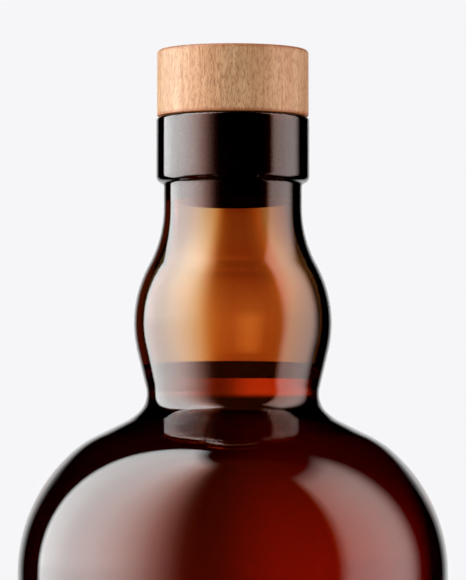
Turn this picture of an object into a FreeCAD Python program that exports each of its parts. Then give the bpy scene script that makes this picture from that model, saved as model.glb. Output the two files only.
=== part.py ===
# Aftershave bottle with a bar-top stopper: round-shouldered amber glass bottle,
# bulb-shaped neck, turned beech stopper head on a black synthetic shank.
# Millimetres. +Z up, origin at the centre of the base, on the bearing plane.
import FreeCAD, Part
import Sketcher
import math
import os
from FreeCAD import Vector

doc = FreeCAD.newDocument("aftershave_bottle")

# ---------------------------------------------------------------- dimensions
# The stopper is drawn in its own frame: height 0 is the underside of its head.
SIZES = [
    # glass, outside
    ("BodyDia", 59.80, "outside diameter of the cylindrical body"),
    ("HeelRadius", 5.20, "rounding from the bearing ring to the wall"),
    ("PuntDia", 44.0, "diameter of the push-up under the base"),
    ("PuntDepth", 3.0, "height of the push-up at the centre"),
    ("ShoulderStart", 77.0, "height where the straight wall ends"),
    ("ShoulderRadA", 22.68, "lower shoulder radius"),
    ("ShoulderSweepA", 48.38, "degrees turned by the lower shoulder"),
    ("ShoulderRadB", 14.64, "upper shoulder radius"),
    ("ShoulderSweepB", 15.41, "degrees turned by the upper shoulder"),
    ("ShoulderFlat", 4.46, "straight slope between shoulder and throat"),
    ("ThroatRadA", 8.00, "outer throat radius, concave"),
    ("ThroatSweepA", 16.28, "degrees turned by the outer throat"),
    ("ThroatRadB", 3.56, "inner throat radius, concave"),
    ("ThroatSweepB", 60.96, "degrees turned by the inner throat"),
    ("BulbRad", 16.96, "radius of the bulb in the neck"),
    ("BulbSweep", 42.18, "degrees turned by the bulb"),
    ("NeckRad", 16.65, "radius from the bulb to the straight neck"),
    ("NeckDia", 19.28, "outside diameter of the straight neck"),
    # finish: the thick ring at the mouth
    ("FinishDia", 21.38, "outside diameter of the finish"),
    ("FinishLow", 132.35, "height where the finish reaches its full diameter"),
    ("FinishTop", 140.55, "height of the mouth of the bottle"),
    ("FinishTopRound", 0.45, "rounding at the top of the finish"),
    ("FinishLowRound", 1.00, "rounding at the bottom of the finish"),
    ("FinishFillet", 0.60, "fillet from the neck into the finish"),
    # glass, inside
    ("Wall", 1.40, "wall thickness"),
    ("BoreChamfer", 0.45, "lead-in at the mouth"),
    ("InnerBase", 15.60, "height of the inside of the base on the axis"),
    ("InnerBaseRad", 120.0, "radius of the domed inside of the base"),
    ("InnerHeel", 6.50, "rounding between inside base and wall"),
    # contents
    ("LiquidGap", 0.05, "film between liquid and glass"),
    ("LiquidLevel", 105.80, "height of the free surface"),
    ("MeniscusRise", 0.40, "how far the surface climbs the glass"),
    ("MeniscusRad", 1.70, "radius of the meniscus"),
    # stopper
    ("SeatGap", 0.10, "between the mouth and the head"),
    ("HeadDia", 21.14, "diameter of the turned head"),
    ("HeadHeight", 9.35, "height of the turned head"),
    ("HeadTopRound", 0.55, "rounding of the top edge"),
    ("HeadLowRound", 0.30, "rounding of the bottom edge"),
    ("RecessDia", 10.20, "blind hole in the head"),
    ("RecessDepth", 5.20, "depth of the blind hole"),
    ("ShankDia", 16.34, "diameter of the shank as squeezed in the bore"),
    ("ShankLength", 12.60, "length of the shank below the head"),
    ("ShankRound", 0.35, "rounding of the end of the shank"),
    ("StemDia", 10.00, "stem of the shank, glued into the head"),
    ("StemLength", 5.00, "length of the stem"),
    ("StemChamfer", 0.50, "chamfer of the stem"),
]
sheet = doc.addObject("Spreadsheet::Sheet", "Sizes")
V = {}
for row, (alias, value, note) in enumerate(SIZES, start=1):
    sheet.set("A%d" % row, note)
    sheet.set("B%d" % row, str(value))
    sheet.setAlias("B%d" % row, alias)
    V[alias] = value
doc.recompute()

HALF = math.pi / 2
ORIGIN = (-1, 1)
H_AXIS = -1
V_AXIS = -2


# ---------------------------------------------------------------- helpers
def origin_plane(body, role):
    for feature in body.Origin.OriginFeatures:
        if feature.Role == role:
            return feature
    raise RuntimeError("no %s in %s" % (role, body.Label))


class Profile:
    """Closed half profile on the XZ plane of its body: x is the radius, y the height."""

    def __init__(self, body, name):
        self.sk = body.newObject("Sketcher::SketchObject", name)
        self.sk.AttachmentSupport = [(origin_plane(body, "XZ_Plane"), "")]
        self.sk.MapMode = "FlatFace"
        self.bound = []

    def line(self, x1, y1, x2, y2):
        return self.sk.addGeometry(Part.LineSegment(Vector(x1, y1, 0), Vector(x2, y2, 0)), False)

    def arc(self, cx, cy, radius, start, end):
        circle = Part.Circle(Vector(cx, cy, 0), Vector(0, 0, 1), radius)
        return self.sk.addGeometry(Part.ArcOfCircle(circle, start, end), False)

    def rule(self, *args):
        self.sk.addConstraint(Sketcher.Constraint(*args))

    def size(self, expression, value, *args):
        index = self.sk.addConstraint(Sketcher.Constraint(*(args + (value,))))
        self.bound.append((index, expression))

    def across(self, expression, value, geo, point):
        self.size(expression, value, "DistanceX", ORIGIN[0], ORIGIN[1], geo, point)

    def up(self, expression, value, geo, point):
        self.size(expression, value, "DistanceY", ORIGIN[0], ORIGIN[1], geo, point)

    def bind(self):
        for index, expression in self.bound:
            self.sk.setExpression("Constraints[%d]" % index, expression)


def neck_run(p, inset, inset_text, whole=True):
    """Arcs from the straight body wall up to the straight neck, moved inward by inset.

    Concentric arcs keep their sweep when they are offset, so one set of sweeps
    serves the outside, the cavity and the contents."""
    x, y, th = V["BodyDia"] / 2 - inset, V["ShoulderStart"], HALF
    run = []

    def turn(alias, sweep, left):
        nonlocal x, y, th
        side = 1 if left else -1
        r = V[alias] - side * inset
        cx, cy = x - side * r * math.sin(th), y + side * r * math.cos(th)
        a0 = th - side * HALF
        a1 = a0 + side * sweep
        if left:
            g, ends = p.arc(cx, cy, r, a0, a1), (1, 2)
        else:
            g, ends = p.arc(cx, cy, r, a1, a0), (2, 1)
        x, y, th = cx + r * math.cos(a1), cy + r * math.sin(a1), th + side * sweep
        p.size("Sizes.%s %s (%s)" % (alias, "-" if left else "+", inset_text), r, "Radius", g)
        run.append((g,) + ends)
        return g

    def swept(alias, sweep_alias, left):
        sweep = math.radians(V[sweep_alias])
        g = turn(alias, sweep, left)
        p.size("Sizes.%s * 1 deg" % sweep_alias, sweep, "Angle", g)

    def straight(length):
        nonlocal x, y
        x2, y2 = x + length * math.cos(th), y + length * math.sin(th)
        g = p.line(x, y, x2, y2)
        x, y = x2, y2
        run.append((g, 1, 2))
        return g

    swept("ShoulderRadA", "ShoulderSweepA", True)
    swept("ShoulderRadB", "ShoulderSweepB", True)
    g = straight(V["ShoulderFlat"])
    p.size("Sizes.ShoulderFlat", V["ShoulderFlat"], "Distance", g)
    swept("ThroatRadA", "ThroatSweepA", False)
    swept("ThroatRadB", "ThroatSweepB", False)
    if whole:
        # the straight flank under the bulb takes up what is left to the neck diameter
        bulb = math.radians(V["BulbSweep"])
        rb, rn = V["BulbRad"] - inset, V["NeckRad"] + inset
        after = th + bulb
        gap = (V["NeckDia"] / 2 - inset) - x
        gap -= rb * (math.sin(after) - math.sin(th))
        gap -= rn * (math.sin(after) - 1)
        length = gap / math.cos(th)
        straight(length)
        swept("BulbRad", "BulbSweep", True)
        turn("NeckRad", th - HALF, False)
    for (g1, a1, b1), (g2, a2, b2) in zip(run, run[1:]):
        p.rule("Tangent", g1, b1, g2, a2)
    return run, x, y, th


def revolved(body, profile, kind, name):
    feature = body.newObject("PartDesign::" + kind, name)
    feature.Profile = profile.sk
    feature.ReferenceAxis = (profile.sk, ["V_Axis"])
    feature.Angle = 360.0
    return feature


def dome_and_heel(p, rise, inset, inset_text):
    """Raised inside of the base, the rounding beside it and the foot of the wall."""
    ri = V["BodyDia"] / 2 - inset
    rd, hr = V["InnerBaseRad"] + rise, V["InnerHeel"] - rise
    cy = V["InnerBase"] - V["InnerBaseRad"]
    hx = ri - hr
    hy = cy + math.sqrt((rd + hr) ** 2 - hx ** 2)
    meet = math.atan2(hy - cy, hx)
    extra = "" if rise == 0 else " + Sizes.LiquidGap"
    less = "" if rise == 0 else " - Sizes.LiquidGap"
    dome = p.arc(0, cy, rd, meet, HALF)
    p.rule("PointOnObject", dome, 3, V_AXIS)
    p.rule("PointOnObject", dome, 2, V_AXIS)
    p.size("Sizes.InnerBaseRad" + extra, rd, "Radius", dome)
    p.up("Sizes.InnerBase" + extra, V["InnerBase"] + rise, dome, 2)
    heel = p.arc(hx, hy, hr, meet - math.pi, 0)
    p.size("Sizes.InnerHeel" + less, hr, "Radius", heel)
    wall = p.line(ri, hy, ri, V["ShoulderStart"])
    p.rule("Vertical", wall)
    p.rule("Tangent", dome, 1, heel, 1)
    p.rule("Tangent", heel, 2, wall, 1)
    p.across("Sizes.BodyDia / 2 - (%s)" % inset_text, ri, wall, 2)
    p.up("Sizes.ShoulderStart", V["ShoulderStart"], wall, 2)
    return dome, wall


# ---------------------------------------------------------------- glass bottle
glass = doc.addObject("PartDesign::Body", "glass_bottle")
glass.Label = "glass_bottle"

p = Profile(glass, "glass_outside")
R, RP, HR = V["BodyDia"] / 2, V["PuntDia"] / 2, V["HeelRadius"]
pr = (RP ** 2 + V["PuntDepth"] ** 2) / (2 * V["PuntDepth"])
pc = V["PuntDepth"] - pr
punt = p.arc(0, pc, pr, math.atan2(-pc, RP), HALF)
p.rule("PointOnObject", punt, 3, V_AXIS)
p.rule("PointOnObject", punt, 2, V_AXIS)
p.up("Sizes.PuntDepth", V["PuntDepth"], punt, 2)
ring = p.line(RP, 0, R - HR, 0)
p.rule("Coincident", punt, 1, ring, 1)
p.rule("PointOnObject", ring, 1, H_AXIS)
p.rule("PointOnObject", ring, 2, H_AXIS)
p.across("Sizes.PuntDia / 2", RP, ring, 1)
heel = p.arc(R - HR, HR, HR, -HALF, 0)
p.size("Sizes.HeelRadius", HR, "Radius", heel)
wall = p.line(R, HR, R, V["ShoulderStart"])
p.rule("Vertical", wall)
p.rule("Tangent", ring, 2, heel, 1)
p.rule("Tangent", heel, 2, wall, 1)
p.across("Sizes.BodyDia / 2", R, wall, 2)
p.up("Sizes.ShoulderStart", V["ShoulderStart"], wall, 2)
run, x, y, th = neck_run(p, 0.0, "0")
p.rule("Tangent", wall, 2, run[0][0], run[0][1])
# straight neck, then an S of a fillet and a rounding out to the finish
rf, rl, rt = V["FinishFillet"], V["FinishLowRound"], V["FinishTopRound"]
RN, RF = V["NeckDia"] / 2, V["FinishDia"] / 2
swing = math.acos(1 - (RF - RN) / (rf + rl))
zl = V["FinishLow"]
zn = zl - (rf + rl) * math.sin(swing)
neck = p.line(RN, y, RN, zn)
p.rule("Vertical", neck)
p.across("Sizes.NeckDia / 2", RN, neck, 1)
p.rule("Tangent", run[-1][0], run[-1][2], neck, 1)
fillet = p.arc(RN + rf, zn, rf, math.pi - swing, math.pi)
p.size("Sizes.FinishFillet", rf, "Radius", fillet)
p.rule("Tangent", neck, 2, fillet, 2)
low = p.arc(RF - rl, zl, rl, -swing, 0)
p.size("Sizes.FinishLowRound", rl, "Radius", low)
p.rule("Tangent", fillet, 1, low, 1)
side = p.line(RF, zl, RF, V["FinishTop"] - rt)
p.rule("Vertical", side)
p.rule("Tangent", low, 2, side, 1)
p.across("Sizes.FinishDia / 2", RF, side, 1)
p.up("Sizes.FinishLow", zl, side, 1)
top = p.arc(RF - rt, V["FinishTop"] - rt, rt, 0, HALF)
p.size("Sizes.FinishTopRound", rt, "Radius", top)
p.rule("Tangent", side, 2, top, 1)
mouth = p.line(RF - rt, V["FinishTop"], 0, V["FinishTop"])
p.rule("Horizontal", mouth)
p.rule("Tangent", top, 2, mouth, 1)
p.up("Sizes.FinishTop", V["FinishTop"], mouth, 2)
p.rule("PointOnObject", mouth, 2, V_AXIS)
core = p.line(0, V["FinishTop"], 0, V["PuntDepth"])
p.rule("Coincident", mouth, 2, core, 1)
p.rule("Coincident", core, 2, punt, 2)
p.bind()
doc.recompute()
revolved(glass, p, "Revolution", "glass_blank")
doc.recompute()
blank_volume = glass.Shape.Volume
outside_profile = p

p = Profile(glass, "glass_inside")
dome, wall = dome_and_heel(p, 0.0, V["Wall"], "Sizes.Wall")
run, x, y, th = neck_run(p, V["Wall"], "Sizes.Wall")
p.rule("Tangent", wall, 2, run[0][0], run[0][1])
RB, BC = V["NeckDia"] / 2 - V["Wall"], V["BoreChamfer"]
bore = p.line(RB, y, RB, V["FinishTop"] - BC)
p.rule("Vertical", bore)
p.across("Sizes.NeckDia / 2 - Sizes.Wall", RB, bore, 1)
p.up("Sizes.FinishTop - Sizes.BoreChamfer", V["FinishTop"] - BC, bore, 2)
p.rule("Tangent", run[-1][0], run[-1][2], bore, 1)
lead = p.line(RB, V["FinishTop"] - BC, RB + BC, V["FinishTop"])
p.rule("Coincident", bore, 2, lead, 1)
p.across("Sizes.NeckDia / 2 - Sizes.Wall + Sizes.BoreChamfer", RB + BC, lead, 2)
p.up("Sizes.FinishTop", V["FinishTop"], lead, 2)
mouth = p.line(RB + BC, V["FinishTop"], 0, V["FinishTop"])
p.rule("Coincident", lead, 2, mouth, 1)
p.rule("Horizontal", mouth)
p.rule("PointOnObject", mouth, 2, V_AXIS)
core = p.line(0, V["FinishTop"], 0, V["InnerBase"])
p.rule("Coincident", mouth, 2, core, 1)
p.rule("Coincident", core, 2, dome, 2)
p.bind()
doc.recompute()
cavity = revolved(glass, p, "Groove", "glass_cavity")
doc.recompute()
inside_profile = p

# ---------------------------------------------------------------- contents
liquid = doc.addObject("PartDesign::Body", "aftershave_liquid")
liquid.Label = "aftershave_liquid"
p = Profile(liquid, "liquid_profile")
inset = V["Wall"] + V["LiquidGap"]
inset_text = "Sizes.Wall + Sizes.LiquidGap"
dome, wall = dome_and_heel(p, V["LiquidGap"], inset, inset_text)
run, x, y, th = neck_run(p, inset, inset_text, whole=False)
p.rule("Tangent", wall, 2, run[0][0], run[0][1])
LL, MR, MM = V["LiquidLevel"], V["MeniscusRise"], V["MeniscusRad"]
reach = (LL + MR - y) / math.sin(th)
xe = x + reach * math.cos(th)
flank = p.line(x, y, xe, LL + MR)
p.rule("Tangent", run[-1][0], run[-1][2], flank, 1)
p.up("Sizes.LiquidLevel + Sizes.MeniscusRise", LL + MR, flank, 2)
tilt = math.asin((MR - MM) / MM)
xm = xe - MM * math.cos(tilt)
curl = p.arc(xm, LL + MM, MM, -HALF, tilt)
p.size("Sizes.MeniscusRad", MM, "Radius", curl)
p.rule("Coincident", curl, 2, flank, 2)
surface = p.line(xm, LL, 0, LL)
p.rule("Horizontal", surface)
p.rule("Tangent", curl, 1, surface, 1)
p.up("Sizes.LiquidLevel", LL, surface, 2)
p.rule("PointOnObject", surface, 2, V_AXIS)
core = p.line(0, LL, 0, V["InnerBase"] + V["LiquidGap"])
p.rule("Coincident", surface, 2, core, 1)
p.rule("Coincident", core, 2, dome, 2)
p.bind()
doc.recompute()
revolved(liquid, p, "Revolution", "liquid_fill")
liquid_profile = p

# ---------------------------------------------------------------- stopper head
head = doc.addObject("PartDesign::Body", "stopper_head")
head.Label = "stopper_head"
p = Profile(head, "head_profile")
RH, HH = V["HeadDia"] / 2, V["HeadHeight"]
tr, lr = V["HeadTopRound"], V["HeadLowRound"]
RR, RD = V["RecessDia"] / 2, V["RecessDepth"]
roof = p.line(0, RD, RR, RD)
p.rule("Horizontal", roof)
p.rule("PointOnObject", roof, 1, V_AXIS)
p.up("Sizes.RecessDepth", RD, roof, 1)
hole = p.line(RR, RD, RR, 0)
p.rule("Vertical", hole)
p.rule("Coincident", roof, 2, hole, 1)
p.across("Sizes.RecessDia / 2", RR, hole, 1)
under = p.line(RR, 0, RH - lr, 0)
p.rule("Coincident", hole, 2, under, 1)
p.rule("PointOnObject", under, 1, H_AXIS)
p.rule("PointOnObject", under, 2, H_AXIS)
lower = p.arc(RH - lr, lr, lr, -HALF, 0)
p.size("Sizes.HeadLowRound", lr, "Radius", lower)
p.rule("Tangent", under, 2, lower, 1)
rim = p.line(RH, lr, RH, HH - tr)
p.rule("Vertical", rim)
p.rule("Tangent", lower, 2, rim, 1)
p.across("Sizes.HeadDia / 2", RH, rim, 1)
upper = p.arc(RH - tr, HH - tr, tr, 0, HALF)
p.size("Sizes.HeadTopRound", tr, "Radius", upper)
p.rule("Tangent", rim, 2, upper, 1)
crown = p.line(RH - tr, HH, 0, HH)
p.rule("Horizontal", crown)
p.rule("Tangent", upper, 2, crown, 1)
p.up("Sizes.HeadHeight", HH, crown, 2)
p.rule("PointOnObject", crown, 2, V_AXIS)
core = p.line(0, HH, 0, RD)
p.rule("Coincident", crown, 2, core, 1)
p.rule("Coincident", core, 2, roof, 1)
p.bind()
doc.recompute()
revolved(head, p, "Revolution", "head_turned")
head_profile = p

# ---------------------------------------------------------------- stopper shank
shank = doc.addObject("PartDesign::Body", "stopper_shank")
shank.Label = "stopper_shank"
p = Profile(shank, "shank_profile")
RS, SL, SR = V["ShankDia"] / 2, V["ShankLength"], V["ShankRound"]
RT, TL, TC = V["StemDia"] / 2, V["StemLength"], V["StemChamfer"]
foot = p.line(0, -SL, RS - SR, -SL)
p.rule("Horizontal", foot)
p.rule("PointOnObject", foot, 1, V_AXIS)
p.size("Sizes.ShankLength", SL, "DistanceY", foot, 1, ORIGIN[0], ORIGIN[1])
edge = p.arc(RS - SR, -SL + SR, SR, -HALF, 0)
p.size("Sizes.ShankRound", SR, "Radius", edge)
p.rule("Tangent", foot, 2, edge, 1)
flank = p.line(RS, -SL + SR, RS, 0)
p.rule("Vertical", flank)
p.rule("Tangent", edge, 2, flank, 1)
p.across("Sizes.ShankDia / 2", RS, flank, 2)
p.rule("PointOnObject", flank, 2, H_AXIS)
step = p.line(RS, 0, RT, 0)
p.rule("Coincident", flank, 2, step, 1)
p.rule("PointOnObject", step, 2, H_AXIS)
stem = p.line(RT, 0, RT, TL - TC)
p.rule("Vertical", stem)
p.rule("Coincident", step, 2, stem, 1)
p.across("Sizes.StemDia / 2", RT, stem, 1)
p.up("Sizes.StemLength - Sizes.StemChamfer", TL - TC, stem, 2)
bevel = p.line(RT, TL - TC, RT - TC, TL)
p.rule("Coincident", stem, 2, bevel, 1)
p.across("Sizes.StemDia / 2 - Sizes.StemChamfer", RT - TC, bevel, 2)
p.up("Sizes.StemLength", TL, bevel, 2)
end = p.line(RT - TC, TL, 0, TL)
p.rule("Coincident", bevel, 2, end, 1)
p.rule("Horizontal", end)
p.rule("PointOnObject", end, 2, V_AXIS)
core = p.line(0, TL, 0, -SL)
p.rule("Coincident", end, 2, core, 1)
p.rule("Coincident", core, 2, foot, 1)
p.bind()
doc.recompute()
revolved(shank, p, "Revolution", "shank_moulded")
shank_profile = p

# ---------------------------------------------------------------- glue film
glue = doc.addObject("PartDesign::Body", "adhesive_film")
glue.Label = "adhesive_film"
p = Profile(glue, "glue_profile")
inner_end = p.line(0, TL, RT - TC, TL)
p.rule("Horizontal", inner_end)
p.rule("PointOnObject", inner_end, 1, V_AXIS)
p.up("Sizes.StemLength", TL, inner_end, 1)
p.across("Sizes.StemDia / 2 - Sizes.StemChamfer", RT - TC, inner_end, 2)
inner_bevel = p.line(RT - TC, TL, RT, TL - TC)
p.rule("Coincident", inner_end, 2, inner_bevel, 1)
p.across("Sizes.StemDia / 2", RT, inner_bevel, 2)
p.up("Sizes.StemLength - Sizes.StemChamfer", TL - TC, inner_bevel, 2)
inner_side = p.line(RT, TL - TC, RT, 0)
p.rule("Coincident", inner_bevel, 2, inner_side, 1)
p.rule("Vertical", inner_side)
p.rule("PointOnObject", inner_side, 2, H_AXIS)
lip = p.line(RT, 0, RR, 0)
p.rule("Coincident", inner_side, 2, lip, 1)
p.rule("PointOnObject", lip, 2, H_AXIS)
outer_side = p.line(RR, 0, RR, RD)
p.rule("Coincident", lip, 2, outer_side, 1)
p.rule("Vertical", outer_side)
p.across("Sizes.RecessDia / 2", RR, outer_side, 1)
outer_end = p.line(RR, RD, 0, RD)
p.rule("Coincident", outer_side, 2, outer_end, 1)
p.rule("Horizontal", outer_end)
p.up("Sizes.RecessDepth", RD, outer_end, 2)
p.rule("PointOnObject", outer_end, 2, V_AXIS)
core = p.line(0, RD, 0, TL)
p.rule("Coincident", outer_end, 2, core, 1)
p.rule("Coincident", core, 2, inner_end, 1)
p.bind()
doc.recompute()
revolved(glue, p, "Revolution", "glue_cured")
glue_profile = p

# the stopper stands on the mouth of the bottle
for body in (head, shank, glue):
    body.Placement = FreeCAD.Placement(Vector(0, 0, 0), FreeCAD.Rotation())
    body.setExpression("Placement.Base.z", "Sizes.FinishTop + Sizes.SeatGap")
doc.recompute()

# ---------------------------------------------------------------- checks
for profile in (outside_profile, inside_profile, liquid_profile, head_profile, shank_profile, glue_profile):
    left = profile.sk.solve()
    print("%-16s solve %d  free %s  closed %s" % (
        profile.sk.Label, left, profile.sk.FullyConstrained, profile.sk.Shape.isClosed()))
for obj in doc.Objects:
    if "Invalid" in obj.State or "Error" in obj.State:
        raise RuntimeError("%s failed: %s" % (obj.Label, obj.State))
bodies = [glass, liquid, head, shank, glue]
for body in bodies:
    shape = body.Shape
    if shape.isNull() or not shape.isValid() or len(shape.Solids) != 1:
        raise RuntimeError("%s has a bad shape" % body.Label)
    box = shape.BoundBox
    print("%-18s volume %.1f mm3  x %.3f..%.3f  z %.3f..%.3f" % (
        body.Label, shape.Volume, box.XMin, box.XMax, box.ZMin, box.ZMax))
if glass.Shape.Volume > 0.6 * blank_volume:
    raise RuntimeError("the cavity was not cut")
print("brimful capacity %.1f ml, filled %.1f ml" % (
    (blank_volume - glass.Shape.Volume) / 1000.0, liquid.Shape.Volume / 1000.0))
for i, one in enumerate(bodies):
    for two in bodies[i + 1:]:
        shared = one.Shape.common(two.Shape).Volume
        if shared > 0.5:
            raise RuntimeError("%s and %s overlap by %.2f mm3" % (one.Label, two.Label, shared))

# ---------------------------------------------------------------- output
os.makedirs("parts", exist_ok=True)
for body in bodies:
    body.Shape.exportStep("parts/%s.step" % body.Label)
print("wrote", len(bodies), "nodes")
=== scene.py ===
import bpy
import bmesh
import math
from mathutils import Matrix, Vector


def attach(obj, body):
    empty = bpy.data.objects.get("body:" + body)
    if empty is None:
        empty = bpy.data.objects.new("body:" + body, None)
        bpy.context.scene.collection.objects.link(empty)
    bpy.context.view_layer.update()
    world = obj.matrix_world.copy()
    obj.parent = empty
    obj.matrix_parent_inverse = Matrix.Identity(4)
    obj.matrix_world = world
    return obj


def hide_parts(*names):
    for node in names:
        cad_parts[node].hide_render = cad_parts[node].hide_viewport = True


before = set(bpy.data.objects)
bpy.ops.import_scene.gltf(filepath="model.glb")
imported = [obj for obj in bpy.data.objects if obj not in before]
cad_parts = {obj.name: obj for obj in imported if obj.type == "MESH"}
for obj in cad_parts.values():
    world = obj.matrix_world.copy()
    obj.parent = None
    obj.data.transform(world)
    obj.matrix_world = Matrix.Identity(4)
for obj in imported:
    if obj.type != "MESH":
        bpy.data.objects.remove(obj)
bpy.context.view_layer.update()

MM = 0.001
HALF = math.pi / 2

# ---------------------------------------------------------------- the bottle's half profile, in millimetres
# Same radii and sweeps as the frame; inset moves it inward through the wall.
BODY_R, SHOULDER_Z = 29.90, 77.0
NECK_R, WALL = 9.64, 1.40
FINISH_R, FINISH_LOW, FINISH_TOP = 10.69, 132.35, 140.55


def arc_points(x, y, th, radius, sweep, step):
    """Points of a tangent arc from (x, y) with heading th; sweep > 0 turns towards the axis."""
    side = 1 if sweep > 0 else -1
    n = max(3, int(math.ceil(abs(sweep) / step)))
    cx, cy = x - side * radius * math.sin(th), y + side * radius * math.cos(th)
    pts = []
    for i in range(1, n + 1):
        t = th + sweep * i / n
        pts.append((cx + side * radius * math.sin(t), cy - side * radius * math.cos(t)))
    return pts, pts[-1][0], pts[-1][1], th + sweep


def line_points(x, y, th, length, n):
    pts = [(x + length * i / n * math.cos(th), y + length * i / n * math.sin(th)) for i in range(1, n + 1)]
    return pts, pts[-1][0], pts[-1][1]


def neck_run(inset, stop=None):
    """From the top of the straight wall to the straight neck, moved inward by inset."""
    x, y, th = BODY_R - inset, SHOULDER_Z, HALF
    out = []
    rad = math.radians
    for kind, size, sweep in (("a", 22.68, 48.38), ("a", 14.64, 15.41), ("l", 4.46, 0),
                              ("a", 8.00, -16.28), ("a", 3.56, -60.96)):
        if kind == "l":
            pts, x, y = line_points(x, y, th, size, 6)
        else:
            r = size - inset if sweep > 0 else size + inset
            pts, x, y, th = arc_points(x, y, th, r, rad(sweep), rad(1.6))
        out += pts
    bulb, after = rad(42.18), th + rad(42.18)
    rb, rn = 16.96 - inset, 16.65 + inset
    gap = (NECK_R - inset) - x - rb * (math.sin(after) - math.sin(th)) - rn * (math.sin(after) - 1)
    length = gap / math.cos(th)
    if stop is not None:
        reach = (stop - y) / math.sin(th)
        pts, x, y = line_points(x, y, th, reach, 8)
        return out + pts, x, y, th
    pts, x, y = line_points(x, y, th, length, 8)
    out += pts
    pts, x, y, th = arc_points(x, y, th, rb, bulb, rad(1.2))
    out += pts
    pts, x, y, th = arc_points(x, y, th, rn, HALF - th, rad(1.2))
    out += pts
    return out, x, y, th


def base_inside(inset, rise):
    """Inside of the base, from the axis out to the straight wall."""
    rd, hr = 120.0 + rise, 6.5 - rise
    ri = BODY_R - inset
    cy = 15.6 - 120.0
    hx = ri - hr
    hy = cy + math.sqrt((rd + hr) ** 2 - hx ** 2)
    meet = math.atan2(hy - cy, hx)
    pts = [(rd * math.cos(HALF + (meet - HALF) * i / 14), cy + rd * math.sin(HALF + (meet - HALF) * i / 14)) for i in range(15)]
    start = meet - math.pi
    pts += [(hx + hr * math.cos(start * (1 - i / 20)), hy + hr * math.sin(start * (1 - i / 20))) for i in range(1, 21)]
    return pts, ri, hy


def wall_up(x, z0, z1, n):
    return [(x, z0 + (z1 - z0) * i / n) for i in range(1, n + 1)]


def lathe(name, profile, segments, material, sharp=32.0, subdivide=None):
    """Closed surface of revolution from a half profile that starts and ends on the axis."""
    verts, faces = [], []
    rings = []
    for x, z in profile:
        if x < 1e-6:
            rings.append([len(verts)])
            verts.append((0.0, 0.0, z * MM))
        else:
            ring = []
            for k in range(segments):
                a = 2 * math.pi * k / segments
                ring.append(len(verts))
                verts.append((x * MM * math.cos(a), x * MM * math.sin(a), z * MM))
            rings.append(ring)
    for low, high in zip(rings, rings[1:]):
        for k in range(segments):
            n = (k + 1) % segments
            if len(low) == 1:
                faces.append((low[0], high[n], high[k]))
            elif len(high) == 1:
                faces.append((low[k], low[n], high[0]))
            else:
                faces.append((low[k], low[n], high[n], high[k]))
    mesh = bpy.data.meshes.new(name)
    mesh.from_pydata(verts, [], faces)
    mesh.update()
    bm = bmesh.new()
    bm.from_mesh(mesh)
    bmesh.ops.remove_doubles(bm, verts=bm.verts, dist=1e-7)
    bmesh.ops.recalc_face_normals(bm, faces=bm.faces)
    bm.to_mesh(mesh)
    bm.free()
    for poly in mesh.polygons:
        poly.use_smooth = True
    mesh.set_sharp_from_angle(angle=math.radians(sharp))
    obj = bpy.data.objects.new(name, mesh)
    bpy.context.scene.collection.objects.link(obj)
    mesh.materials.append(material)
    return obj


# ---------------------------------------------------------------- material helpers
def new_material(name):
    mat = bpy.data.materials.new(name)
    mat.use_nodes = True
    nt = mat.node_tree
    nt.nodes.clear()
    return mat, nt


def node(nt, kind, **values):
    n = nt.nodes.new(kind)
    for key, value in values.items():
        setattr(n, key, value)
    return n


def math_node(nt, op, a, b=None, c=None, clamp=False):
    n = nt.nodes.new("ShaderNodeMath")
    n.operation = op
    n.use_clamp = clamp
    for i, v in enumerate((a, b, c)):
        if v is None:
            continue
        if isinstance(v, (int, float)):
            n.inputs[i].default_value = v
        else:
            nt.links.new(v, n.inputs[i])
    return n.outputs[0]


def ramp(nt, fac, stops, interpolation="LINEAR"):
    n = nt.nodes.new("ShaderNodeValToRGB")
    n.color_ramp.interpolation = interpolation
    els = n.color_ramp.elements
    while len(els) > 1:
        els.remove(els[-1])
    for i, (pos, col) in enumerate(stops):
        e = els[0] if i == 0 else els.new(pos)
        e.position = pos
        e.color = (col, col, col, 1) if isinstance(col, (int, float)) else (col[0], col[1], col[2], 1)
    nt.links.new(fac, n.inputs[0])
    return n.outputs[0]


# ---------------------------------------------------------------- glass
def make_glass(name, ior, absorb, bump=True):
    """Clear dielectric whose tint is a plain absorption inside: absorb is per metre for red, green, blue."""
    mat, nt = new_material(name)
    out = node(nt, "ShaderNodeOutputMaterial")
    p = node(nt, "ShaderNodeBsdfPrincipled")
    p.inputs["Base Color"].default_value = (1, 1, 1, 1)
    p.inputs["Roughness"].default_value = 0.0
    p.inputs["IOR"].default_value = ior
    p.inputs["Transmission Weight"].default_value = 1.0
    nt.links.new(p.outputs[0], out.inputs["Surface"])
    v = node(nt, "ShaderNodeVolumeAbsorption")
    density = max(absorb) * 1.0001
    v.inputs["Density"].default_value = density
    v.inputs["Color"].default_value = tuple(1 - a / density for a in absorb) + (1,)
    nt.links.new(v.outputs[0], out.inputs["Volume"])
    if bump:
        tc = node(nt, "ShaderNodeTexCoord")
        noise = node(nt, "ShaderNodeTexNoise")
        noise.inputs["Scale"].default_value = 60.0
        noise.inputs["Detail"].default_value = 1.0
        nt.links.new(tc.outputs["Object"], noise.inputs["Vector"])
        b = node(nt, "ShaderNodeBump")
        b.inputs["Strength"].default_value = 0.02
        b.inputs["Distance"].default_value = 0.0002
        nt.links.new(noise.outputs[0], b.inputs["Height"])
        nt.links.new(b.outputs[0], p.inputs["Normal"])
    return mat


GLASS_ABS = (284.0, 949.0, 1852.0)
LIQUID_ABS = (27.0, 75.0, 60.0)
glass_mat = make_glass("amber_glass", 1.52, GLASS_ABS)
liquid_mat = make_glass("aftershave_amber", 1.36, LIQUID_ABS, bump=False)

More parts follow.
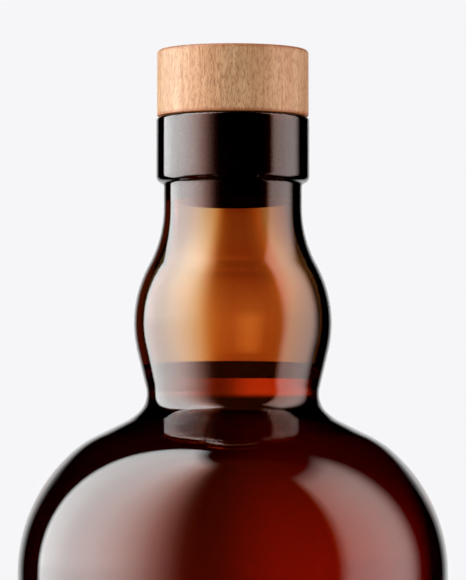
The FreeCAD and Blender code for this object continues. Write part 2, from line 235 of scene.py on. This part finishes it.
# outside of the glass, from the axis under the base to the mouth
punt_r = (22.0 ** 2 + 3.0 ** 2) / 6.0
punt_c = 3.0 - punt_r
punt_a = math.atan2(-punt_c, 22.0)
outside = [(punt_r * math.cos(HALF + (punt_a - HALF) * i / 16), punt_c + punt_r * math.sin(HALF + (punt_a - HALF) * i / 16)) for i in range(17)]
outside += [(22.8, 0.0), (23.8, 0.0), (24.7, 0.0)]
outside += [(24.7 + 5.2 * math.sin(HALF * i / 18), 5.2 - 5.2 * math.cos(HALF * i / 18)) for i in range(1, 19)]
outside += wall_up(BODY_R, 5.2, SHOULDER_Z, 24)
run, x, y, th = neck_run(0.0)
outside += run
rf, rl, rt = 0.60, 1.00, 0.45
swing = math.acos(1 - (FINISH_R - NECK_R) / (rf + rl))
zn = FINISH_LOW - (rf + rl) * math.sin(swing)
outside += wall_up(NECK_R, y, zn, 5)
pts, x, y, th = arc_points(NECK_R, zn, HALF, rf, -swing, math.radians(6))
outside += pts
pts, x, y, th = arc_points(x, y, th, rl, swing, math.radians(5))
outside += pts
outside += wall_up(FINISH_R, FINISH_LOW, FINISH_TOP - rt, 8)
pts, x, y, th = arc_points(FINISH_R, FINISH_TOP - rt, HALF, rt, HALF, math.radians(9))
outside += pts
BORE_R = NECK_R - WALL
# inside, from the axis up to the mouth, then reversed
inside, ri, hy = base_inside(WALL, 0.0)
inside += wall_up(ri, hy, SHOULDER_Z, 24)
run, x, y, th = neck_run(WALL)
run += wall_up(BORE_R, y, 128.4, 8)
# the blown bulb is up to 0.28 mm thinner than the rest of the wall
THIN = [(106.5, 0.0), (109.5, 0.03), (113.0, 0.12), (116.0, 0.20), (118.0, 0.26), (119.3, 0.28), (121.0, 0.25), (124.0, 0.14), (126.5, 0.04), (128.2, 0.0)]


def thinner(z):
    if z <= THIN[0][0] or z >= THIN[-1][0]:
        return 0.0
    slopes = [0.0] + [0.5 * ((b[1] - a[1]) / (b[0] - a[0]) + (c[1] - b[1]) / (c[0] - b[0])) for a, b, c in zip(THIN, THIN[1:], THIN[2:])] + [0.0]
    for i, (a, b) in enumerate(zip(THIN, THIN[1:])):
        if a[0] <= z <= b[0]:
            h = b[0] - a[0]
            t = (z - a[0]) / h
            return ((2 * t ** 3 - 3 * t ** 2 + 1) * a[1] + (t ** 3 - 2 * t ** 2 + t) * h * slopes[i]
                    + (3 * t ** 2 - 2 * t ** 3) * b[1] + (t ** 3 - t ** 2) * h * slopes[i + 1])
    return 0.0


inside += [(px + thinner(pz), pz) for px, pz in run]
inside += wall_up(BORE_R, 128.4, FINISH_TOP - 0.45, 8)
inside += [(BORE_R + 0.45, FINISH_TOP)]
glass = lathe("glass_bottle_blown", outside + inside[::-1], 224, glass_mat)
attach(glass, "bottle")
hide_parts("glass_bottle")

# ---------------------------------------------------------------- contents
# The liquid wets the glass: its skin lies a hair inside the wall so that no air film shows.
WET = 0.02
fill, ri, hy = base_inside(WALL - WET, -WET)
fill += wall_up(ri, hy, SHOULDER_Z, 24)
LEVEL, RISE, MEN = 105.80, 0.40, 1.70
run, x, y, th = neck_run(WALL - WET, stop=LEVEL + RISE)
fill += run
tilt = math.asin((RISE - MEN) / MEN)
mx = x - MEN * math.cos(tilt)
fill += [(mx + MEN * math.cos(tilt + (-HALF - tilt) * i / 14), LEVEL + MEN + MEN * math.sin(tilt + (-HALF - tilt) * i / 14)) for i in range(1, 15)]
fill += [(mx * 0.66, LEVEL), (mx * 0.33, LEVEL), (0.0, LEVEL)]
liquid = lathe("aftershave_fill", fill, 224, liquid_mat)
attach(liquid, "bottle")
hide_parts("aftershave_liquid")

# ---------------------------------------------------------------- beech head
def make_beech():
    mat, nt = new_material("beech")
    out = node(nt, "ShaderNodeOutputMaterial")
    p = node(nt, "ShaderNodeBsdfPrincipled")
    nt.links.new(p.outputs[0], out.inputs["Surface"])
    tc = node(nt, "ShaderNodeTexCoord")
    obj = tc.outputs["Object"]

    def mapped(scale, offset=(0, 0, 0)):
        m = node(nt, "ShaderNodeMapping")
        m.inputs["Scale"].default_value = scale
        m.inputs["Location"].default_value = offset
        nt.links.new(obj, m.inputs["Vector"])
        return m.outputs[0]

    def noise(vector, scale, detail=2.0, rough=0.5, distortion=0.0):
        n = node(nt, "ShaderNodeTexNoise")
        n.inputs["Scale"].default_value = scale
        n.inputs["Detail"].default_value = detail
        n.inputs["Roughness"].default_value = rough
        n.inputs["Distortion"].default_value = distortion
        nt.links.new(vector, n.inputs["Vector"])
        return n.outputs[0]

    # slow change of tone across the board, drawn out along the grain
    tone = noise(mapped((1, 1, 0.12)), 190, 2.0, 0.55)
    fine = noise(mapped((1, 1, 0.07), (3.1, 1.7, 0.4)), 1500, 3.0, 0.65)
    wave = noise(mapped((1, 1, 0.35), (0.7, 2.2, 5.0)), 1100, 2.0, 0.5)
    # rays: short dark flecks along the grain
    fleck_a = noise(mapped((1, 1, 0.24), (5.0, 3.0, 1.0)), 5000, 1.0, 0.45, 0.5)
    fleck_b = noise(mapped((1, 1, 0.20), (9.0, 6.0, 4.0)), 3500, 1.0, 0.45, 0.5)
    f1 = ramp(nt, fleck_a, [(0.0, 0.0), (0.50, 0.0), (0.66, 1.0), (1.0, 1.0)])
    f2 = ramp(nt, fleck_b, [(0.0, 0.0), (0.56, 0.0), (0.70, 1.0), (1.0, 1.0)])
    flecks = math_node(nt, "MAXIMUM", f1, f2)
    base = ramp(nt, tone, [(0.30, (0.76, 0.400, 0.185)), (0.50, (0.84, 0.485, 0.240)), (0.70, (0.90, 0.575, 0.310))])
    mix1 = node(nt, "ShaderNodeMix", data_type="RGBA", blend_type="MULTIPLY")
    nt.links.new(base, mix1.inputs["A"])
    fr = ramp(nt, fine, [(0.34, (0.80, 0.70, 0.60)), (0.60, (1.05, 1.05, 1.05))])
    nt.links.new(fr, mix1.inputs["B"])
    mix1.inputs["Factor"].default_value = 0.8
    mix2 = node(nt, "ShaderNodeMix", data_type="RGBA", blend_type="MULTIPLY")
    nt.links.new(mix1.outputs["Result"], mix2.inputs["A"])
    wr = ramp(nt, wave, [(0.35, (0.93, 0.90, 0.87)), (0.65, (1.03, 1.03, 1.03))])
    nt.links.new(wr, mix2.inputs["B"])
    mix2.inputs["Factor"].default_value = 1.0
    mix3 = node(nt, "ShaderNodeMix", data_type="RGBA", blend_type="MIX")
    amount = math_node(nt, "MULTIPLY", flecks, 0.85)
    nt.links.new(amount, mix3.inputs["Factor"])
    nt.links.new(mix2.outputs["Result"], mix3.inputs["A"])
    mix3.inputs["B"].default_value = (0.50, 0.20, 0.065, 1)
    # painted shade: the head's bottom rim, which sits in shadow, and its top edge are painted a little darker
    zc = node(nt, "ShaderNodeSeparateXYZ")
    nt.links.new(obj, zc.inputs[0])
    up = math_node(nt, "MULTIPLY", math_node(nt, "SUBTRACT", zc.outputs[2], (FINISH_TOP + 0.10) * MM), 100.0)
    painted_rim_shade = ramp(nt, up, [(0.0, 1.0), (0.025, 0.9), (0.055, 0.0), (0.875, 0.0), (0.905, 0.75), (0.925, 0.9), (0.935, 0.0)])
    rim_shade_mix = node(nt, "ShaderNodeMix", data_type="RGBA", blend_type="MULTIPLY")
    nt.links.new(painted_rim_shade, rim_shade_mix.inputs["Factor"])
    nt.links.new(mix3.outputs["Result"], rim_shade_mix.inputs["A"])
    # painted shade colour, multiplied into the wood at both rims
    rim_shade_mix.inputs["B"].default_value = (0.72, 0.43, 0.20, 1)
    nt.links.new(rim_shade_mix.outputs["Result"], p.inputs["Base Color"])
    rough = ramp(nt, fine, [(0.3, 0.52), (0.7, 0.38)])
    nt.links.new(rough, p.inputs["Roughness"])
    p.inputs["Specular IOR Level"].default_value = 0.88
    p.inputs["Specular Tint"].default_value = (0.82, 1.0, 1.0, 1)
    height = math_node(nt, "SUBTRACT", fine, math_node(nt, "MULTIPLY", flecks, 0.5))
    b = node(nt, "ShaderNodeBump")
    b.inputs["Strength"].default_value = 0.5
    b.inputs["Distance"].default_value = 0.00008
    nt.links.new(height, b.inputs["Height"])
    nt.links.new(b.outputs[0], p.inputs["Normal"])
    return mat


beech = make_beech()
Z0 = FINISH_TOP + 0.10
HEAD_R, HEAD_H = 10.57, 9.35
head_profile = [(0.0, 5.2), (5.1, 5.2), (5.1, 2.6), (5.1, 0.0), (7.6, 0.0), (HEAD_R - 0.30, 0.0)]
head_profile += [(HEAD_R - 0.30 + 0.30 * math.sin(HALF * i / 6), 0.30 - 0.30 * math.cos(HALF * i / 6)) for i in range(1, 7)]
head_profile += wall_up(HEAD_R, 0.30, HEAD_H - 0.55, 10)
head_profile += [(HEAD_R - 0.55 + 0.55 * math.cos(HALF * i / 8), HEAD_H - 0.55 + 0.55 * math.sin(HALF * i / 8)) for i in range(1, 9)]
head_profile += [(8.0, HEAD_H), (5.0, HEAD_H), (2.5, HEAD_H), (0.0, HEAD_H)]
head = lathe("stopper_head_turned", [(px, pz + Z0) for px, pz in head_profile], 160, beech)
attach(head, "stopper")
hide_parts("stopper_head")

# ---------------------------------------------------------------- shank
def make_shank():
    mat, nt = new_material("black_polymer")
    out = node(nt, "ShaderNodeOutputMaterial")
    p = node(nt, "ShaderNodeBsdfPrincipled")
    nt.links.new(p.outputs[0], out.inputs["Surface"])
    tc = node(nt, "ShaderNodeTexCoord")
    n = node(nt, "ShaderNodeTexNoise")
    n.inputs["Scale"].default_value = 3000
    n.inputs["Detail"].default_value = 3
    nt.links.new(tc.outputs["Object"], n.inputs["Vector"])
    col = ramp(nt, n.outputs[0], [(0.3, (0.004, 0.0035, 0.0035)), (0.7, (0.009, 0.008, 0.008))])
    nt.links.new(col, p.inputs["Base Color"])
    r = ramp(nt, n.outputs[0], [(0.3, 0.12), (0.7, 0.20)])
    nt.links.new(r, p.inputs["Roughness"])
    sz = node(nt, "ShaderNodeSeparateXYZ")
    nt.links.new(tc.outputs["Object"], sz.inputs[0])
    end = math_node(nt, "MULTIPLY", math_node(nt, "SUBTRACT", sz.outputs[2], (FINISH_TOP + 0.10 - 12.1) * MM), 1000.0)
    nt.links.new(ramp(nt, end, [(0.0, 0.0), (0.04, 0.0), (0.34, 0.22), (1.0, 0.22)]), p.inputs["Specular IOR Level"])
    b = node(nt, "ShaderNodeBump")
    b.inputs["Strength"].default_value = 0.2
    b.inputs["Distance"].default_value = 0.00003
    nt.links.new(n.outputs[0], b.inputs["Height"])
    nt.links.new(b.outputs[0], p.inputs["Normal"])
    return mat


shank_mat = make_shank()
SH_R = 8.26
SR = 0.35
SL = 12.1
shank_profile = [(0.0, -SL), (3.0, -SL), (SH_R - SR, -SL)]
shank_profile += [(SH_R - SR + SR * math.sin(HALF * i / 8), -SL + SR - SR * math.cos(HALF * i / 8)) for i in range(1, 9)]
shank_profile += wall_up(SH_R, -SL + SR, 0.0, 8)
shank_profile += [(5.0, 0.0), (5.0, 4.5), (4.5, 5.0), (0.0, 5.0)]
shank = lathe("stopper_shank_moulded", [(px, pz + Z0) for px, pz in shank_profile], 128, shank_mat)
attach(shank, "stopper")
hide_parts("stopper_shank")

glue_mat, nt = new_material("cured_glue")
go = node(nt, "ShaderNodeOutputMaterial")
gp = node(nt, "ShaderNodeBsdfPrincipled")
nt.links.new(gp.outputs[0], go.inputs["Surface"])
gt = node(nt, "ShaderNodeTexCoord")
gn = node(nt, "ShaderNodeTexNoise")
gn.inputs["Scale"].default_value = 800
nt.links.new(gt.outputs["Object"], gn.inputs["Vector"])
gc = ramp(nt, gn.outputs[0], [(0.3, (0.66, 0.58, 0.42)), (0.7, (0.78, 0.72, 0.58))])
nt.links.new(gc, gp.inputs["Base Color"])
gr = ramp(nt, gn.outputs[0], [(0.3, 0.2), (0.7, 0.35)])
nt.links.new(gr, gp.inputs["Roughness"])
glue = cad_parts["adhesive_film"]
glue.data.materials.clear()
glue.data.materials.append(glue_mat)

# ---------------------------------------------------------------- floor
floor_mat, nt = new_material("floor_pale")
fo = node(nt, "ShaderNodeOutputMaterial")
fp = node(nt, "ShaderNodeBsdfPrincipled")
fp.inputs["Base Color"].default_value = (0.94, 0.92, 0.915, 1)
fp.inputs["Roughness"].default_value = 1.0
fp.inputs["Specular IOR Level"].default_value = 0.0
nt.links.new(fp.outputs[0], fo.inputs["Surface"])
fm = bpy.data.meshes.new("floor")
S = 6.0
fm.from_pydata([(-S, -S, 0), (S, -S, 0), (S, S, 0), (-S, S, 0)], [], [(0, 1, 2, 3)])
floor = bpy.data.objects.new("floor", fm)
bpy.context.scene.collection.objects.link(floor)
fm.materials.append(floor_mat)
floor.visible_glossy = False
floor.visible_transmission = False

# ---------------------------------------------------------------- studio
world = bpy.data.worlds.new("studio")
bpy.context.scene.world = world
world.use_nodes = True
nt = world.node_tree
nt.nodes.clear()
wout = node(nt, "ShaderNodeOutputWorld")
tc = node(nt, "ShaderNodeTexCoord")
sep = node(nt, "ShaderNodeSeparateXYZ")
nt.links.new(tc.outputs["Generated"], sep.inputs[0])
dx, dy, dz = sep.outputs
deg = 180.0 / math.pi
# azimuth in degrees from the front, negative to the left; elevation in degrees
az = math_node(nt, "MULTIPLY", math_node(nt, "ARCTAN2", dx, math_node(nt, "MULTIPLY", dy, -1.0)), deg)
el = math_node(nt, "MULTIPLY", math_node(nt, "ARCSINE", math_node(nt, "MINIMUM", math_node(nt, "MAXIMUM", dz, -1.0), 1.0)), deg)


def curve(value, low, high, stops):
    """Piecewise-linear function of value over low..high degrees."""
    t = math_node(nt, "DIVIDE", math_node(nt, "SUBTRACT", value, low), high - low, clamp=True)
    top = max(v for _, v in stops)
    out = ramp(nt, t, [((a - low) / (high - low), v / top) for a, v in stops])
    return math_node(nt, "MULTIPLY", out, top)


def colour_curve(value, low, high, stops):
    """Piecewise-linear colour over low..high degrees, and the factor it has been divided by."""
    t = math_node(nt, "DIVIDE", math_node(nt, "SUBTRACT", value, low), high - low, clamp=True)
    top = max(max(c) for _, c in stops)
    return ramp(nt, t, [((a - low) / (high - low), tuple(v / top for v in c)) for a, c in stops]), top


left_az = curve(az, -140, -20, [(-140, 0), (-128.5, 0), (-124.5, 6.3), (-118, 6.7), (-110, 7.2), (-100, 7.0), (-91, 7.1), (-83, 7.1), (-77, 6.8),
                                (-71, 6.1), (-66, 5.5), (-61, 4.7), (-56, 3.8), (-51, 2.9), (-46, 1.9), (-41, 1.15), (-36, 0.6), (-32, 0.25), (-27, 0.04), (-22, 0)])
left_el = curve(el, -60, 90, [(-60, 0), (-45, 0), (-35, 0.93), (0, 0.93), (5, 1.07), (14, 1.04), (40, 1), (76, 1), (82, 0), (90, 0)])
right_az = curve(az, 50, 130, [(50, 0), (58, 0), (62, 0.9), (66, 2.0), (70, 2.3), (78, 2.6), (90, 2.9), (100, 2.75), (106, 2.4), (111, 1.6), (117, 0.4), (121, 0), (130, 0)])
right_el = curve(el, -60, 90, [(-60, 0), (-45, 0), (-30, 1), (45, 1), (56, 0.8), (64, 0), (90, 0)])
left_box = math_node(nt, "MULTIPLY", left_az, left_el)
right_box = math_node(nt, "MULTIPLY", right_az, right_el)
boxes = math_node(nt, "ADD", left_box, right_box)
# the diffusers' skirts glow warmer than their middles
warm_el = curve(el, -60, 90, [(-60, 0), (-45, 0), (-35, 0.93), (0, 1.0), (5, 1.0), (12, 1.2), (30, 1.25), (60, 1.2), (76, 1), (82, 0), (90, 0)])
warm_l = math_node(nt, "MULTIPLY", curve(az, -140, -15, [(-140, 0), (-113, 0), (-108, 0.08), (-97, 0.32), (-88, 0.6), (-80, 0.95),
                                                          (-72, 1.35), (-64, 1.8), (-57, 1.95), (-50, 1.85), (-44, 1.75), (-38, 1.2), (-32, 0.55), (-27, 0.15), (-20, 0)]), warm_el)
warm_el_r = curve(el, -60, 90, [(-60, 0), (-45, 0), (-30, 0.85), (5, 0.85), (9, 1.5), (30, 1.65), (50, 1.5), (56, 1.1), (64, 0), (90, 0)])
warm_r = math_node(nt, "MULTIPLY", curve(az, 50, 130, [(50, 0), (56, 0), (60, 0.7), (65, 1.4), (74, 1.4), (84, 1.2), (100, 0.9), (112, 0.5), (121, 0), (130, 0)]), warm_el_r)
warm = math_node(nt, "ADD", warm_l, warm_r)
# angle round from straight behind, positive to the left
behind = math_node(nt, "WRAP", math_node(nt, "ADD", az, 180.0), 180.0, -180.0)
card_el = curve(el, -60, 60, [(-60, 0), (-35, 0), (-20, 1), (13, 1), (20, 0), (60, 0)])
card_az = curve(behind, -60, 60, [(-60, 0), (-30, 0), (-18, 0.9), (18, 0.9), (30, 0), (60, 0)])
card_glossy = math_node(nt, "MULTIPLY", card_az, card_el)
# What is seen through the glass. The filled part is lit by a reflector behind it that reaches round to the left;
# the empty neck by a pale card that fades to both sides, with a bright cool strip just left of centre.
low_card = curve(behind, -60, 60, [(-60, 0), (-40, 0.1), (-32, 0.3), (-24, 0.5), (-14, 0.62), (-8, 0.55), (-4, 0.44), (-1.5, 0.62), (0, 0.86), (2, 1.25), (5.6, 1.8),
                                   (11, 1.9), (15, 1.85), (21, 1.6), (30, 1.35), (38, 1.0), (43, 0.4), (47, 0), (60, 0)])
low_el = curve(el, -60, 60, [(-60, 0), (-38, 0.0), (-30, 0.10), (-22.6, 0.15), (-16.7, 0.32), (-11.8, 0.55), (-5.8, 0.80), (-1.9, 0.94), (0.5, 1.0), (13, 1), (20, 0), (60, 0)])
low_card = math_node(nt, "MULTIPLY", low_card, low_el)
# its right half ends below the neck
low_card = math_node(nt, "MULTIPLY", low_card, math_node(nt, "SUBTRACT", 1.0, math_node(nt, "MULTIPLY", curve(behind, -60, 60, [(-60, 0.55), (-12, 0.55), (-7, 0), (60, 0)]),
                                                                                   curve(el, -60, 60, [(-60, 0), (1.0, 0), (4.0, 1), (60, 1)]))))


high_col, high_top = colour_curve(behind, -40, 40, [
    (-40, (0, 0, 0)), (-30, (0, 0, 0)), (-20, (0, 0, 0)), (-15, (0.16, 0.3, 1.0)), (-12, (0.30, 1.0, 3.4)), (-8, (0.48, 1.5, 6)), (-6, (0.62, 2.0, 7.6)),
    (-4.6, (0.78, 2.2, 8)), (-3.6, (0.80, 1.2, 2.5)), (-2.8, (0.80, 0.82, 0.9)), (0, (0.86, 0.84, 0.95)), (0.7, (0.98, 1.15, 1.3)), (1.1, (1.12, 1.55, 2.0)),
    (1.5, (1.30, 2.6, 5.6)), (2.0, (1.36, 4.0, 13.5)), (2.6, (1.27, 4.45, 19.5)), (3.4, (1.08, 4.5, 21.5)), (5, (0.76, 3.7, 21.5)), (7, (0.48, 2.5, 16)), (10, (0.28, 1.6, 12)),
    (14, (0.10, 1.0, 6)), (20, (0.04, 0.3, 1)), (30, (0.0, 0, 0)), (40, (0, 0, 0))])
# the pale card is darker towards its top, and a small warm patch sits low on it
high_fade, fade_top = colour_curve(el, 0, 8, [(0, (0.98, 0.98, 0.98)), (1.25, (0.97, 0.93, 0.9)), (1.7, (0.89, 0.80, 0.75)), (2.1, (0.81, 0.68, 0.6)), (2.5, (0.73, 0.56, 0.48)),
                                            (3.0, (0.64, 0.44, 0.34)), (3.5, (0.56, 0.35, 0.25)), (4.2, (0.48, 0.30, 0.2)), (5, (0.46, 0.34, 0.26)), (5.6, (0.46, 0.40, 0.34)), (8, (0.40, 0.36, 0.32))])
patch = math_node(nt, "MULTIPLY", curve(behind, -3, 2, [(-3, 0), (-2.0, 0), (-1.3, 0.36), (-0.85, 0.44), (-0.4, 0.27), (0, 0.08), (0.4, 0), (2, 0)]),
                  curve(el, 0, 4, [(0, 1), (1.1, 1), (1.3, 0.9), (1.5, 0.6), (1.8, 0.2), (2.2, 0.1), (2.6, 0), (4, 0)]))
# open studio on the other sides, dimmer than the boxes
bearing = math_node(nt, "ABSOLUTE", az)
open_front = curve(bearing, 0, 180, [(0, 0.75), (55, 0.75), (72, 0.5), (84, 0), (180, 0)])
open_side = math_node(nt, "MULTIPLY", curve(bearing, 0, 180, [(0, 0), (60, 0), (72, 1.1), (117, 1.1), (128, 0), (180, 0)]),
                      curve(el, -60, 0, [(-60, 0), (-42, 0), (-34, 1), (-20, 1), (-13, 0), (0, 0)]))
# from above, the empty neck also sees the open studio low down at the sides
side_low = math_node(nt, "MULTIPLY", curve(bearing, 0, 180, [(0, 0), (60, 0), (75, 0.5), (165, 0.5), (172, 0.35), (180, 0.3)]),
                     curve(el, -60, 0, [(-60, 0.3), (-42, 0.6), (-34, 1), (-16, 1), (-9, 0), (0, 0)]))
side_boxes = curve(bearing, 0, 180, [(0, 0), (72, 0), (84, 0.55), (96, 0.55), (102, 0), (180, 0)])
boxes_through = math_node(nt, "ADD", math_node(nt, "ADD", open_front, open_side), side_boxes)
lp = node(nt, "ShaderNodeLightPath")


def background(strength, color=(1, 1, 1, 1)):
    b = node(nt, "ShaderNodeBackground")
    b.inputs["Color"].default_value = color
    if isinstance(strength, (int, float)):
        b.inputs["Strength"].default_value = strength
    else:
        nt.links.new(strength, b.inputs["Strength"])
    return b.outputs[0]


def mix_shader(fac, a, b):
    m = node(nt, "ShaderNodeMixShader")
    nt.links.new(fac, m.inputs[0])
    nt.links.new(a, m.inputs[1])
    nt.links.new(b, m.inputs[2])
    return m.outputs[0]




def tinted(base, extra, tint):
    """Grey level base plus extra times tint, as a colour."""
    cols = [math_node(nt, "ADD", base, math_node(nt, "MULTIPLY", extra, t)) if t else base for t in tint]
    c = node(nt, "ShaderNodeCombineColor")
    for i, v in enumerate(cols):
        nt.links.new(v, c.inputs[i])
    return c.outputs[0]


def coloured(color, strength=1.0):
    b = node(nt, "ShaderNodeBackground")
    nt.links.new(color, b.inputs["Color"])
    b.inputs["Strength"].default_value = strength
    return b.outputs[0]


glossy_env = coloured(tinted(math_node(nt, "ADD", boxes, card_glossy), warm, (1.0, 0.17, 0)))
rim = math_node(nt, "MULTIPLY", curve(behind, -60, 60, [(-60, 0), (-8, 0), (0, 0.02), (7, 0.05), (11, 0.17), (26, 0.19), (36, 0.1), (46, 0), (60, 0)]), card_el)
inner_env = background(math_node(nt, "ADD", math_node(nt, "MULTIPLY", boxes, 0.40), rim))
faded = node(nt, "ShaderNodeMix", data_type="RGBA", blend_type="MULTIPLY")
nt.links.new(curve(behind, -4, 4, [(-4, 0), (-3.0, 0), (-2.0, 0.75), (-1.2, 1.0), (0.3, 1.0), (0.9, 0.85), (1.5, 0.35), (2.2, 0), (4, 0)]), faded.inputs["Factor"])
nt.links.new(high_col, faded.inputs["A"])
nt.links.new(high_fade, faded.inputs["B"])
high_env = coloured(faded.outputs["Result"], high_top)
nt.links.new(math_node(nt, "MULTIPLY", card_el, high_top * fade_top), high_env.node.inputs["Strength"])
patch_env = background(math_node(nt, "ADD", math_node(nt, "MULTIPLY", patch, 0.9), side_low), (1.0, 1.9, 2.9, 1))
extra = node(nt, "ShaderNodeAddShader")
nt.links.new(high_env, extra.inputs[0])
nt.links.new(patch_env, extra.inputs[1])
high_env = extra.outputs[0]
# mirrored by the liquid's surface, the reflector is lost
clear_path = math_node(nt, "SUBTRACT", 1.0, math_node(nt, "MULTIPLY", math_node(nt, "GREATER_THAN", lp.outputs["Glossy Depth"], 0.5), 1.0))
low_env = background(math_node(nt, "MULTIPLY", low_card, clear_path))
filled = math_node(nt, "GREATER_THAN", lp.outputs["Transmission Depth"], 4.5)
through_env = mix_shader(filled, high_env, low_env)
add = node(nt, "ShaderNodeAddShader")
nt.links.new(through_env, add.inputs[0])
nt.links.new(background(boxes_through), add.inputs[1])
through_env = add.outputs[0]
deep = math_node(nt, "GREATER_THAN", lp.outputs["Transmission Depth"], 2.5)
through_env = mix_shader(deep, inner_env, through_env)
# soft fill for everything that is not mirror-like
soft = node(nt, "ShaderNodeCombineColor")
for i, (box, fill) in enumerate(((0.196, 0.42), (0.204, 0.42), (0.210, 0.42))):
    nt.links.new(math_node(nt, "ADD", math_node(nt, "MULTIPLY", boxes, box), fill), soft.inputs[i])
soft_env = coloured(soft.outputs[0])
camera_env = background(1.0, (0.9216, 0.9216, 0.9387, 1))
s = mix_shader(lp.outputs["Is Glossy Ray"], soft_env, glossy_env)
s = mix_shader(lp.outputs["Is Transmission Ray"], s, through_env)
s = mix_shader(lp.outputs["Is Camera Ray"], s, camera_env)
nt.links.new(s, wout.inputs["Surface"])
world.cycles.sampling_method = "MANUAL"
world.cycles.sample_map_resolution = 1024

# ---------------------------------------------------------------- camera
cam = bpy.data.cameras.new("camera")
cam_obj = bpy.data.objects.new("camera", cam)
bpy.context.scene.collection.objects.link(cam_obj)
bpy.context.scene.camera = cam_obj
cam.sensor_fit = "VERTICAL"
cam.sensor_height = 36.0
cam.sensor_width = 36.0 * 466 / 580
cam.lens = 5406.0 / 580.0 * 36.0
cam.clip_start = 0.01
cam.clip_end = 50
cam_obj.location = (0.00002, -0.752, 0.075)
aim = Vector((0.00002, 0, 0.11648)) - cam_obj.location
cam_obj.rotation_euler = aim.to_track_quat("-Z", "Y").to_euler()

scene = bpy.context.scene
scene.view_settings.view_transform = "Standard"
scene.view_settings.look = "None"
scene.view_settings.exposure = 0
scene.view_settings.gamma = 1
scene.cycles.max_bounces = 28
scene.cycles.transmission_bounces = 24
scene.cycles.glossy_bounces = 12
scene.cycles.diffuse_bounces = 4
scene.cycles.blur_glossy = 0.0
scene.cycles.sample_clamp_indirect = 20.0
